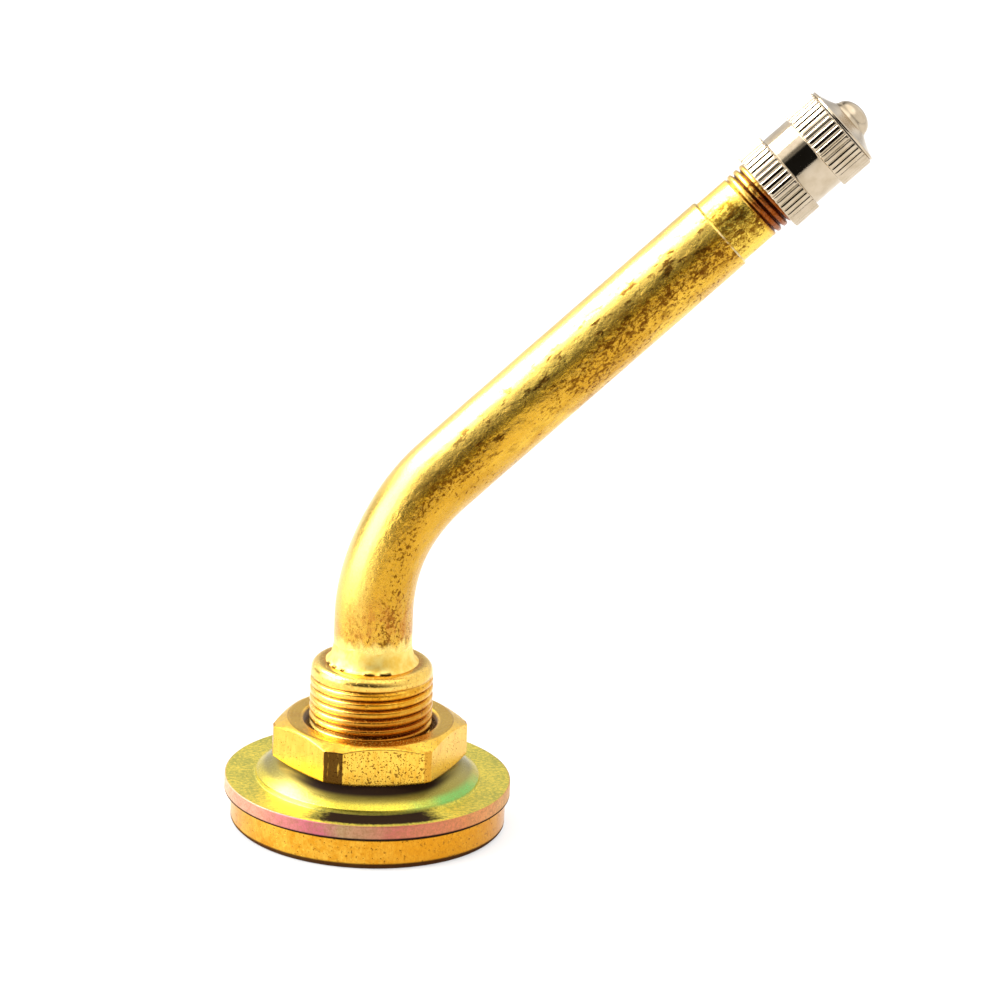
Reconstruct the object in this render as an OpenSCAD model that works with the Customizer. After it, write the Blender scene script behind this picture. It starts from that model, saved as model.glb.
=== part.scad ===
// Clamp-in tyre valve for a truck wheel: a spud with a round base, a bent brass stem brazed into it,
// a formed bridge washer and a hexagon nut that clamp the rim or tube, a screwed-in valve core with its
// spring and seals, and a knurled metal cap with a gasket.
// Origin at the centre of the base's underside, +Z up the spud, and the stem bends towards +X.

/* [Base and spud] */
// Diameter of the round base flange
base_d = 28.6; // [27:0.1:30]
// Thickness of the base flange
base_t = 3.45; // [2.5:0.05:4.5]
// Bevel round the flange's lower edge
base_bevel = 0.4; // [0.1:0.05:0.8]
// Bevel round the flange's upper edge
base_top_bevel = 0.2; // [0.1:0.05:0.5]
// Outside diameter of the spud's thread
spud_d = 12.8; // [12.2:0.1:13.6]
// Length of the spud's thread above the base flange
spud_thread_len = 13.05; // [12:0.05:16]
// How much smaller in radius the plain shank above the thread is
shank_drop = 0.08; // [0.02:0.01:0.2]
// Height of the plain shank
shank_h = 0.3; // [0.2:0.05:1.5]
// Radius of the rounded shoulder at the spud's top
shoulder_round = 0.95; // [0.6:0.05:1.4]
// Depth of the socket that the stem is brazed into
socket_depth = 7.8; // [5:0.1:11]
// Diameter of the air port through the base
port_d = 3.8; // [2.5:0.1:4.6]
// Bevel at the air port's mouth
port_bevel = 0.5; // [0.2:0.05:1]

/* [Stem tube] */
// Outside diameter of the stem tube
tube_d = 8.18; // [7.9:0.01:8.4]
// Air bore along the tube
air_bore_d = 3.6; // [3.2:0.05:3.8]
// Gap for the brazing filler between tube and socket
braze_gap = 0.03; // [0.01:0.01:0.1]
// Height of the start of the bend above the base's underside
bend_start = 22.6; // [21:0.1:30]
// Radius of the bend at the tube's axis
bend_radius = 20.5; // [14:0.1:30]
// Angle that the stem bends through
bend_angle = 48; // [20:0.5:70]
// How much thicker the wall of the bend is, inside and outside
bend_swell = 0.03; // [0.02:0.01:0.06]
// How far the straight lengths run into the bend
bend_lap = 0.3; // [0.2:0.05:0.4]
// Straight length from the end of the bend to the turned-down tip
arm_len = 37.85; // [25:0.05:60]
// Bevel on the shoulder where the tip is turned down
step_bevel = 0.12; // [0.05:0.01:0.15]

/* [Braze fillet] */
// Width of the filler on the spud's rim
fillet_w = 0.8; // [0.5:0.05:0.8]
// Height of the filler up the tube
fillet_h = 2.5; // [1:0.1:2.6]

/* [Threaded tip] */
// Diameter of the plain collar behind the cap thread
collar_d = 7.6; // [7.2:0.02:7.7]
// Length of the plain collar
collar_len = 3.6; // [2:0.05:5]
// Outside diameter of the cap thread
cap_thread_d = 7.7; // [7.5:0.02:7.8]
// Length of the cap thread, up to the mouth
cap_thread_len = 11.4; // [10:0.05:14]
// Bevel outside the mouth
mouth_bevel = 0.5; // [0.2:0.05:0.7]
// Diameter of the core thread inside the mouth
core_thread_d = 5.3; // [5:0.02:5.5]
// Bevel inside the mouth
mouth_inner_bevel = 0.35; // [0.1:0.05:0.4]
// Spare thread below the core's screw
core_thread_spare = 0.3; // [0.1:0.05:0.6]
// Bore of the core chamber above its seat
chamber_d = 4.2; // [4.1:0.02:4.5]

/* [Clamp washer] */
// Diameter of the washer
washer_d = 29.8; // [28:0.1:32]
// Thickness of the washer's sheet
washer_t = 1.55; // [1:0.05:2]
// Diameter of the raised hat at its foot
hat_d = 23.5; // [22.5:0.1:25]
// Height of the crisp step round the hat
hat_step = 0.45; // [0.3:0.05:0.7]
// How far the step leans inwards
hat_step_lean = 0.15; // [0.05:0.05:0.3]
// Height of the hat's dome above the step
hat_rise = 1.55; // [1:0.05:2]
// How late the dome falls away, 1 for a straight cone
dome_power = 1.4; // [1:0.1:2]
// Margin of the flat seat outside the nut's face
seat_margin = 0.1; // [0.05:0.05:0.3]
// Radial play of the washer on the spud
washer_play = 0.35; // [0.15:0.05:0.6]
// Bevel on the washer's outer edges
washer_bevel = 0.15; // [0.05:0.05:0.3]

/* [Clamp nut] */
// Width across the nut's flats
nut_af = 18; // [17:0.1:19]
// Height of the nut
nut_h = 4.4; // [3.5:0.1:6]
// How far the chamfer's face circle lies inside the flats
nut_face_inset = 0.4; // [0.2:0.05:0.8]
// Slope of the upper chamfer on the corners, in degrees
nut_chamfer_angle = 26; // [10:0.5:35]
// Slope of the lower chamfer on the corners, in degrees
nut_foot_angle = 15; // [10:0.5:35]
// Depth of the countersink at each end of the bore
nut_countersink = 0.7; // [0.3:0.05:1]
// Direction of one corner at rest, in degrees from the bend
nut_clock = -4; // [-30:1:30]
// Width of the flat worn onto each corner
nut_wear_w = 0.9; // [0.2:0.1:1.5]
// Width of the flat bruised onto one corner
nut_bruise_w = 1.9; // [1.6:0.1:2.5]
// How far the bruised flat leans towards the front face, in degrees
nut_bruise_lean = 5; // [-8:0.5:8]
// Radial play of a screw thread
thread_clear = 0.06; // [0.02:0.01:0.1]

/* [Cap] */
// Wall of the cap at its plain waist
cap_wall = 0.32; // [0.25:0.01:0.6]
// How far the knurled bands stand out from the waist
band_height = 0.46; // [0.35:0.01:0.7]
// Height of the lower knurled band
lower_band_h = 3.2; // [2:0.05:4]
// Height of the plain waist
waist_h = 3.25; // [2:0.05:4]
// Height of the upper knurled band
upper_band_h = 3.7; // [3:0.05:5]
// Thickness of the cap's roof at the top of the upper band
cap_roof_t = 0.45; // [0.3:0.05:0.8]
// Height of the plain rim above the upper band
cap_rim_h = 0.3; // [0.2:0.05:0.6]
// How much smaller in radius the plain rim is
cap_rim_drop = 0.15; // [0.05:0.05:0.3]
// Height of the shallow cone on top
cap_cone_h = 0.95; // [0.2:0.05:1.2]
// Diameter of the domed nipple
nipple_d = 4.2; // [3.5:0.1:5.5]
// Height of the domed nipple
nipple_h = 1.55; // [1:0.05:2.6]
// Number of knurl teeth round each band
knurl_teeth = 44; // [30:1:60]
// Depth of the knurl
knurl_depth = 0.14; // [0.1:0.01:0.3]
// Bevel inside the cap's open rim
cap_mouth_bevel = 0.3; // [0.1:0.05:0.4]
// Thickness of the gasket in the cap
gasket_t = 0.9; // [0.6:0.05:1.4]
// Radial play of the gasket in the cap
gasket_play = 0.1; // [0.05:0.01:0.2]

/* [Valve core] */
// Depth of the screw's wings below the mouth
core_set = 1; // [0.6:0.05:2]
// Height of the two wings
wing_h = 0.9; // [0.5:0.05:1.2]
// Distance across the wings
wing_d = 3.6; // [3.2:0.05:4]
// Thickness of the wings
wing_t = 1.7; // [1.2:0.05:2]
// Length of the screw's threaded body
screw_len = 4; // [3.2:0.05:5]
// Bore of the screw round the pin
screw_bore_d = 2.2; // [2:0.05:2.4]
// Outside diameter of the barrel's neck inside the screw
neck_d = 3.1; // [3:0.02:3.2]
// Length of the neck
neck_len = 1.5; // [1:0.05:2]
// Radial play of the neck in the screw, which lets the screw swivel
neck_play = 0.05; // [0.02:0.01:0.08]
// Length of the barrel between the screw and the seal
barrel_upper_len = 3.9; // [3:0.05:5]
// Length of the barrel seal and of its seat
seal_len = 1.6; // [1.2:0.05:2]
// Length of the barrel below the seal
barrel_lower_len = 5.1; // [4:0.05:7]
// Radial gap between the barrel and the bores round it
barrel_gap = 0.2; // [0.1:0.01:0.25]
// Diameter of the groove that holds the seal
seal_groove_d = 2.9; // [2.8:0.02:3]
// Gap between the seal and its seat
seal_gap = 0.02; // [0.01:0.01:0.05]
// Bore of the barrel round the spring
spring_bore_d = 2.5; // [2.4:0.02:2.6]
// Bore of the barrel below the spring's ledge
outlet_bore_d = 1.7; // [1.4:0.05:1.8]
// Depth of the spring's ledge below the seal
ledge_drop = 0.6; // [0.3:0.05:1.5]

/* [Core pin and spring] */
// Diameter of the pin
pin_d = 0.9; // [0.7:0.02:1]
// Depth of the pin's top below the mouth
pin_set = 0.5; // [0.3:0.05:0.9]
// Diameter of the staked shoulder on the pin
stake_d = 2.2; // [2.1:0.02:2.3]
// Thickness of the staked shoulder
stake_t = 0.4; // [0.2:0.05:0.8]
// Depth of the staked shoulder below the screw
stake_drop = 1.1; // [0.6:0.05:1.5]
// Diameter of the spring's wire
wire_d = 0.28; // [0.2:0.01:0.34]
// Mean diameter of the spring
coil_d = 1.9; // [1.8:0.02:2]
// Turns of the spring
coil_turns = 8; // [5:1:10]
// Outside diameter of the cup
cup_d = 3; // [2.8:0.02:3.1]
// Wall of the cup
cup_wall = 0.15; // [0.1:0.01:0.2]
// Floor of the cup
cup_floor = 0.4; // [0.3:0.05:0.6]
// Thickness of the seal in the cup
cup_seal_t = 0.8; // [0.6:0.05:1.2]
// How far the seal stands out of the cup
cup_seal_proud = 0.3; // [0.2:0.05:0.5]
// Length of the riveted pin end below the cup
rivet_len = 0.5; // [0.2:0.05:1]

/* [Hidden] */
$fn = 96;
eps = 0.5;
arc_steps = 8;
wire_sides = 8;
rings_per_turn = 14;

brass = [0.80, 0.62, 0.22];
filler = [0.86, 0.70, 0.30];
zinc = [0.66, 0.62, 0.26];
nickel = [0.82, 0.80, 0.76];
rubber_black = [0.10, 0.10, 0.10];
seal_red = [0.62, 0.16, 0.12];
spring_steel = [0.55, 0.55, 0.56];

base_r = base_d / 2;
spud_r = spud_d / 2;
tube_r = tube_d / 2;
air_r = air_bore_d / 2;
shank_r = spud_r - shank_drop;
thread_top = base_t + spud_thread_len;
shoulder_start = thread_top + shank_h;
spud_top = shoulder_start + shoulder_round;
socket_floor = spud_top - socket_depth;
socket_r = tube_r + braze_gap;

collar_r = collar_d / 2;
cap_thread_r = cap_thread_d / 2;
core_thread_r = core_thread_d / 2;
chamber_r = chamber_d / 2;
collar_end = arm_len + collar_len;
mouth = collar_end + cap_thread_len;

rim_top = base_t + washer_t;
hat_foot_r = hat_d / 2;
hat_edge_r = hat_foot_r - hat_step_lean;
hat_edge_z = rim_top + hat_step;
seat_z = hat_edge_z + hat_rise;
nut_face_r = nut_af / 2 - nut_face_inset;
seat_r = nut_face_r + seat_margin;
washer_hole_r = spud_r + washer_play;

nut_corner_r = nut_af / 2 / cos(30);
nut_bore_r = spud_r + thread_clear;
nut_chamfer_drop = (nut_corner_r - nut_face_r) * tan(nut_chamfer_angle);
nut_foot_drop = (nut_corner_r - nut_face_r) * tan(nut_foot_angle);
nut_wear_depth = nut_wear_w / 2 / tan(60);
nut_bruise_depth = nut_bruise_w / 2 / tan(60);

cap_bore_r = cap_thread_r + thread_clear;
waist_r = cap_bore_r + cap_wall;
band_r = waist_r + band_height;
upper_band_z = lower_band_h + waist_h;
cap_rim_z = upper_band_z + upper_band_h;
cap_roof = cap_rim_z - cap_roof_t;
cap_open = mouth + gasket_t - cap_roof;
cap_cone_z = cap_rim_z + cap_rim_h;
nipple_z = cap_cone_z + cap_cone_h;

// Depths in the core chamber are measured from the mouth inwards
screw_top = core_set + wing_h;
screw_end = screw_top + screw_len;
neck_top = screw_end - neck_len;
seal_top = screw_end + barrel_upper_len;
seal_end = seal_top + seal_len;
barrel_end = seal_end + barrel_lower_len;
ledge = seal_end + ledge_drop;
stake_top = screw_end + stake_drop;
spring_top = stake_top + stake_t;
cup_top = barrel_end + cup_seal_proud;
cup_seal_end = barrel_end + cup_seal_t;
cup_end = cup_seal_end + cup_floor;
pin_end = cup_end + rivet_len;

screw_r = core_thread_r - thread_clear;
barrel_upper_r = chamber_r - barrel_gap;
barrel_lower_r = air_r - barrel_gap;
groove_r = seal_groove_d / 2;
neck_r = neck_d / 2;
spring_bore_r = spring_bore_d / 2;
outlet_r = outlet_bore_d / 2;
pin_r = pin_d / 2;
cup_r = cup_d / 2;
wire_r = wire_d / 2;
coil_r = coil_d / 2;

// Points of an arc round (x, y) from one angle to another
function arc(x, y, r, from, to) =
    [for (i = [0 : arc_steps]) let (a = from + (to - from) * i / arc_steps) [x + r * cos(a), y + r * sin(a)]];

// Top line of the washer's dome from the seat out to the hat's edge, lowered by drop
function dome(drop) =
    [for (i = [0 : arc_steps])
        let (t = i / arc_steps)
        [seat_r + t * (hat_edge_r - seat_r), seat_z - hat_rise * pow(t, dome_power) - drop]];

// Places its children on the straight arm, with z from the end of the bend
module on_arm() {
    translate([bend_radius, 0, bend_start])
        rotate([0, bend_angle, 0])
            translate([-bend_radius, 0, 0])
                children();
}

// Places its children in the core chamber, with z the depth from the mouth
module in_chamber() {
    on_arm()
        translate([0, 0, mouth])
            rotate([180, 0, 0])
                children();
}

// A ring turned about z
module ring(inner, outer, from, to) {
    rotate_extrude()
        translate([inner, from])
            square([outer - inner, to - from]);
}

// Base flange and threaded spud, one forging, with the socket for the stem and the air port
module spud() {
    color(brass)
        rotate_extrude()
            polygon(concat(
                [[port_d / 2 + port_bevel, 0],
                 [base_r - base_bevel, 0],
                 [base_r, base_bevel],
                 [base_r, base_t - base_top_bevel],
                 [base_r - base_top_bevel, base_t],
                 [spud_r, base_t],
                 [spud_r, thread_top],
                 [shank_r, thread_top]],
                arc(shank_r - shoulder_round, shoulder_start, shoulder_round, 0, 90),
                [[socket_r, spud_top],
                 [socket_r, socket_floor],
                 [port_d / 2, socket_floor],
                 [port_d / 2, port_bevel]]));
}

// Half section of the straight arm: tube, turned-down tip, and the stepped chamber for the core
module arm_section() {
    thread_end = screw_end + core_thread_spare;
    polygon([
        [air_r, -bend_lap],
        [tube_r, -bend_lap],
        [tube_r, arm_len - step_bevel],
        [tube_r - step_bevel, arm_len],
        [collar_r, arm_len],
        [collar_r, collar_end],
        [cap_thread_r, collar_end],
        [cap_thread_r, mouth - mouth_bevel],
        [cap_thread_r - mouth_bevel, mouth],
        [core_thread_r + mouth_inner_bevel, mouth],
        [core_thread_r, mouth - mouth_inner_bevel],
        [core_thread_r, mouth - thread_end],
        [chamber_r, mouth - thread_end - core_thread_r + chamber_r],
        [chamber_r, mouth - seal_top],
        [air_r, mouth - seal_end]]);
}

// Bend of the tube, its wall a trace thicker than the straight lengths that run into its ends
module bend() {
    translate([bend_radius, 0, bend_start])
        rotate([90, 0, 180])
            rotate_extrude(angle = bend_angle)
                translate([bend_radius, 0])
                    difference() {
                        circle(r = tube_r + bend_swell);
                        circle(r = air_r - bend_swell);
                    }
}

// Bent tube: a straight foot in the socket, the bend, and the arm with its threaded tip
module stem_tube() {
    color(brass)
        union() {
            ring(air_r, tube_r, socket_floor, bend_start + bend_lap);
            bend();
            on_arm()
                rotate_extrude()
                    arm_section();
        }
}

// Brazing filler, hollowed between the spud's rim and the tube
module braze_fillet() {
    toe_r = tube_r + fillet_w;
    color(filler)
        rotate_extrude()
            polygon(concat(
                [[tube_r, spud_top]],
                [for (i = [0 : arc_steps])
                    let (a = 90 * i / arc_steps)
                    [toe_r - fillet_w * sin(a), spud_top + fillet_h * (1 - cos(a))]]));
}

// Bridge washer formed from sheet: flat rim, crisp step and a hollow dome up to the nut's seat
module clamp_washer() {
    color(zinc)
        rotate_extrude()
            polygon(concat(
                [[washer_hole_r, seat_z]],
                dome(0),
                [[hat_foot_r, rim_top],
                 [washer_d / 2 - washer_bevel, rim_top],
                 [washer_d / 2, rim_top - washer_bevel],
                 [washer_d / 2, base_t + washer_bevel],
                 [washer_d / 2 - washer_bevel, base_t],
                 [hat_edge_r, base_t]],
                [for (i = [arc_steps : -1 : 0]) dome(washer_t)[i]],
                [[washer_hole_r, seat_z - washer_t]]));
}

// Hexagon nut with chamfered and worn corners, countersunk bore and one bruised corner
module clamp_nut() {
    color(brass)
        translate([0, 0, seat_z])
            difference() {
                intersection() {
                    rotate([0, 0, nut_clock])
                        linear_extrude(nut_h)
                            circle(r = nut_corner_r, $fn = 6);
                    rotate([0, 0, nut_clock + 30])
                        linear_extrude(nut_h)
                            circle(r = (nut_corner_r - nut_wear_depth) / cos(30), $fn = 6);
                    rotate_extrude()
                        polygon([
                            [0, 0],
                            [nut_face_r, 0],
                            [nut_corner_r, nut_foot_drop],
                            [nut_corner_r, nut_h - nut_chamfer_drop],
                            [nut_face_r, nut_h],
                            [0, nut_h]]);
                    rotate([0, 0, nut_clock - 120 + nut_bruise_lean])
                        translate([-nut_corner_r, -nut_corner_r, 0])
                            cube([2 * nut_corner_r - nut_bruise_depth, 2 * nut_corner_r, nut_h]);
                }
                rotate_extrude()
                    polygon([
                        [0, -eps],
                        [nut_bore_r + nut_countersink + eps, -eps],
                        [nut_bore_r, nut_countersink],
                        [nut_bore_r, nut_h - nut_countersink],
                        [nut_bore_r + nut_countersink + eps, nut_h + eps],
                        [0, nut_h + eps]]);
            }
}

// A band of straight knurling from z to z + h
module knurled_band(z, h) {
    pitch = 360 / knurl_teeth;
    translate([0, 0, z])
        linear_extrude(h)
            polygon([for (i = [0 : 2 * knurl_teeth - 1])
                let (r = band_r - (i % 2) * knurl_depth)
                [r * cos(i * pitch / 2), r * sin(i * pitch / 2)]]);
}

// Metal cap: two knurled bands either side of a plain waist, a thin rim, a shallow cone and a nipple
module cap_shell() {
    rim_r = band_r - cap_rim_drop;
    color(nickel)
        on_arm()
            translate([0, 0, cap_open])
                difference() {
                    union() {
                        knurled_band(0, lower_band_h);
                        knurled_band(upper_band_z, upper_band_h);
                        rotate_extrude()
                            polygon(concat(
                                [[0, 0],
                                 [waist_r, 0],
                                 [waist_r, cap_rim_z],
                                 [rim_r, cap_rim_z],
                                 [rim_r, cap_cone_z]],
                                [for (i = [0 : arc_steps])
                                    let (a = 90 * i / arc_steps)
                                    [nipple_d / 2 * cos(a), nipple_z + nipple_h * sin(a)]]));
                    }
                    rotate_extrude()
                        polygon([
                            [0, -eps],
                            [cap_bore_r + cap_mouth_bevel + eps, -eps],
                            [cap_bore_r, cap_mouth_bevel],
                            [cap_bore_r, cap_roof],
                            [0, cap_roof]]);
                }
}

// Rubber disc that the cap presses onto the mouth
module cap_gasket() {
    color(rubber_black)
        on_arm()
            translate([0, 0, mouth])
                cylinder(r = cap_bore_r - gasket_play, h = gasket_t);
}

// Screw that holds the core: threaded body, two wings for the key, a recess for the barrel's neck
module core_screw() {
    recess_r = neck_r + neck_play;
    color(brass)
        in_chamber()
            difference() {
                union() {
                    translate([0, 0, screw_top])
                        cylinder(r = screw_r, h = screw_len);
                    intersection() {
                        translate([0, 0, core_set])
                            cylinder(r = wing_d / 2, h = wing_h);
                        translate([-wing_d / 2, -wing_t / 2, core_set])
                            cube([wing_d, wing_t, wing_h]);
                    }
                }
                translate([0, 0, core_set - eps])
                    cylinder(d = screw_bore_d, h = wing_h + screw_len + 2 * eps);
                translate([0, 0, neck_top])
                    cylinder(r = recess_r, h = neck_len + eps);
            }
}

// Barrel of the core: neck, body, seal groove, slim lower end, and a ledge inside for the spring
module core_barrel() {
    color(brass)
        in_chamber()
            rotate_extrude()
                polygon([
                    [spring_bore_r, neck_top],
                    [neck_r, neck_top],
                    [neck_r, screw_end],
                    [barrel_upper_r, screw_end],
                    [barrel_upper_r, seal_top],
                    [groove_r, seal_top],
                    [groove_r, seal_end],
                    [barrel_lower_r, seal_end],
                    [barrel_lower_r, barrel_end],
                    [outlet_r, barrel_end],
                    [outlet_r, ledge],
                    [spring_bore_r, ledge]]);
}

// Conical sealing ring in the barrel's groove
module core_barrel_seal() {
    color(seal_red)
        in_chamber()
            rotate_extrude()
                polygon([
                    [groove_r, seal_top],
                    [chamber_r - seal_gap, seal_top],
                    [air_r - seal_gap, seal_end],
                    [groove_r, seal_end]]);
}

// Pin that opens the core when pressed, with the staked shoulder that the spring pushes on
module core_pin() {
    color(brass)
        in_chamber() {
            translate([0, 0, pin_set])
                cylinder(r = pin_r, h = pin_end - pin_set);
            translate([0, 0, stake_top])
                cylinder(d = stake_d, h = stake_t);
        }
}

// Coil spring between the barrel's ledge and the pin's shoulder
module core_spring() {
    first = spring_top + wire_r;
    rise = ledge - spring_top - wire_d;
    rings = coil_turns * rings_per_turn;
    points = [for (i = [0 : rings], k = [0 : wire_sides - 1])
        let (turn = 360 * i / rings_per_turn,
             a = 360 * k / wire_sides,
             r = coil_r + wire_r * cos(a))
        [r * cos(turn), r * sin(turn), first + rise * i / rings + wire_r * sin(a)]];
    sides = [for (i = [0 : rings - 1], k = [0 : wire_sides - 1])
        let (next = (k + 1) % wire_sides)
        [i * wire_sides + k, i * wire_sides + next, (i + 1) * wire_sides + next, (i + 1) * wire_sides + k]];
    start = [[for (k = [wire_sides - 1 : -1 : 0]) k]];
    end = [[for (k = [0 : wire_sides - 1]) rings * wire_sides + k]];
    color(spring_steel)
        in_chamber()
            polyhedron(points, concat(sides, start, end));
}

// Small cup riveted to the pin, which carries the seal
module core_cup() {
    color(brass)
        in_chamber()
            rotate_extrude()
                polygon([
                    [pin_r, cup_seal_end],
                    [cup_r - cup_wall, cup_seal_end],
                    [cup_r - cup_wall, cup_top],
                    [cup_r, cup_top],
                    [cup_r, cup_end],
                    [pin_r, cup_end]]);
}

// Rubber ring in the cup, which shuts on the end of the barrel
module core_cup_seal() {
    color(rubber_black)
        in_chamber()
            ring(pin_r, cup_r - cup_wall, barrel_end, cup_seal_end);
}

spud();
stem_tube();
braze_fillet();
clamp_washer();
clamp_nut();
cap_shell();
cap_gasket();
core_screw();
core_barrel();
core_barrel_seal();
core_pin();
core_spring();
core_cup();
core_cup_seal();
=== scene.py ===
from math import atan2, cos, degrees, pi, radians, sin, tan

import bmesh
import bpy
from mathutils import Matrix, Vector, noise


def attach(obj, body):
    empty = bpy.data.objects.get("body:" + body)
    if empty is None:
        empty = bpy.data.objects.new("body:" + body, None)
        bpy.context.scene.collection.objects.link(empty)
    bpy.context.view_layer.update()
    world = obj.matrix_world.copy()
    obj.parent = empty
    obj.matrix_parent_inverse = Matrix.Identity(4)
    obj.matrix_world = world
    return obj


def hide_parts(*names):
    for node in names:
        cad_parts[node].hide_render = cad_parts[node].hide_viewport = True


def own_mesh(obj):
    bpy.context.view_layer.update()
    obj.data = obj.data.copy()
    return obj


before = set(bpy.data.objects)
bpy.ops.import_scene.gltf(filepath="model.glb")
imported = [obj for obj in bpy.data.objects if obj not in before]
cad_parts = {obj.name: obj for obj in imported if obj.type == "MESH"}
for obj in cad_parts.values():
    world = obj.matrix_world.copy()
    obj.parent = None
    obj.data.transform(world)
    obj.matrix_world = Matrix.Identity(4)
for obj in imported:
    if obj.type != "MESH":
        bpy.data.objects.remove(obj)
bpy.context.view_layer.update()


# Spud: the base flange and the threaded neck, turned from one brass forging. The stem's foot is
# brazed into the socket in its top, and air enters by the port in its base.
# Lengths are in millimetres, and sides are angles round a piece's own axis, in degrees.
MM = 0.001
BASE_R, BASE_T = 14.3, 3.45
FOOT_CHAMFER, RIM_CHAMFER = 0.4, 0.2
SPUD_R, SPUD_PITCH, SPUD_DEPTH = 6.4, 25.4 / 26, 0.46
RELIEF_R, RELIEF_TOP = SPUD_R - 0.5, BASE_T + 0.3
SPUD_THREAD_FOOT, SPUD_THREAD_TOP = BASE_T + 0.4, 16.5
SHANK_R, SHOULDER_START, SHOULDER_ROUND = 6.32, 16.8, 0.95
SPUD_TOP = SHOULDER_START + SHOULDER_ROUND
SOCKET_R, SOCKET_FLOOR = 4.12, SPUD_TOP - 7.8
PORT_R, PORT_CHAMFER = 1.9, 0.5
# Sides round the spud where light is painted: the nut's reflection on the neck, the neck's highlight, and the
# flange's shade.
NUT_REFLECTION_SIDE, SPUD_HIGHLIT_SIDE, FLANGE_SHADE_SIDE = -84.3, -162.5, -41.3


def full_turn(count):
    """Angles all the way round, with the first place again at the end."""
    return [2 * pi * i / count for i in range(count + 1)]


ROUND = full_turn(144)


def arc(r, z, wide, high, angles):
    """Points of a turned outline on a round or oval about the point (r, z), at angles in degrees."""
    return [(r + wide * cos(radians(a)), z + high * sin(radians(a))) for a in angles]


def eased(points, ease):
    """The same line with each sharp corner rounded over ease.
    A point either side of a corner keeps the flats beside it flat."""
    line = [Vector(p) for p in points]
    out = [line[0]]
    for before, corner, after in zip(line, line[1:], line[2:]):
        a, b = before - corner, after - corner
        if a.length < 1e-6 or b.length < 1e-6 or a.angle(b) > radians(150):
            out.append(corner)
            continue
        start = corner + a.normalized() * min(ease, 0.3 * a.length)
        end = corner + b.normalized() * min(ease, 0.3 * b.length)
        out.append(corner + a.normalized() * min(3 * ease, 0.45 * a.length))
        out += [start, (start + 2 * corner + end) / 4, end]
        out.append(corner + b.normalized() * min(3 * ease, 0.45 * b.length))
    return out + [line[-1]]


def hoops(points, angles=ROUND):
    """A row of the skin for each point (radius, height) of a turned outline."""
    return [[(p[0], p[1])] * len(angles) for p in points]


def thread(low, high, pitch, crest, root, plain, angles=ROUND):
    """Rows that follow a right-hand thread from low to high, worn round on its crests.
    It fades into a plain radius at both ends."""
    flank = [(0.05, 0.10), (0.16, 0.70), (0.23, 0.90), (0.34, 0.985)]
    section = [(0.0, 0.0)] + flank + [(0.5, 1.0)] + [(1 - share, rise) for share, rise in flank[::-1]]
    rows = []
    for turn in range(-1, int((high - low) / pitch) + 1):
        for share, rise in section:
            row = []
            for a in angles:
                z = low + pitch * (turn + share + a / (2 * pi))
                z = min(max(z, low), high)
                fade = min(1.0, (z - low) / pitch, (high - z) / pitch / 0.35)
                row.append((plain + (root + (crest - root) * rise - plain) * fade, z))
            rows.append(row)
    return rows


def skin(name, rows, angles=ROUND, place=None):
    """A closed mesh through rows of (radius, height), each with one point for every angle.
    Its points also keep their place on the straight, unplaced piece, in millimetres."""
    mesh = bmesh.new()
    straight = mesh.verts.layers.float_vector.new("straight")
    grid = []
    for row in rows:
        line = []
        for (r, z), a in zip(row, angles):
            p = Vector((r * cos(a), r * sin(a), z))
            v = mesh.verts.new((place(p) if place else p) * MM)
            v[straight] = p
            line.append(v)
        grid.append(line)
    for here, there in zip(grid, grid[1:] + grid[:1]):
        for i in range(len(angles) - 1):
            mesh.faces.new((here[i], here[i + 1], there[i + 1], there[i]))
    bmesh.ops.remove_doubles(mesh, verts=mesh.verts, dist=2e-7)
    bmesh.ops.delete(mesh, geom=[e for e in mesh.edges if not e.link_faces], context="EDGES")
    bmesh.ops.recalc_face_normals(mesh, faces=mesh.faces)
    for face in mesh.faces:
        face.smooth = True
    data = bpy.data.meshes.new(name)
    mesh.to_mesh(data)
    mesh.free()
    piece = bpy.data.objects.new(name, data)
    bpy.context.scene.collection.objects.link(piece)
    weighted = piece.modifiers.new("edges", "WEIGHTED_NORMAL")
    weighted.keep_sharp = False
    return piece


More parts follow.
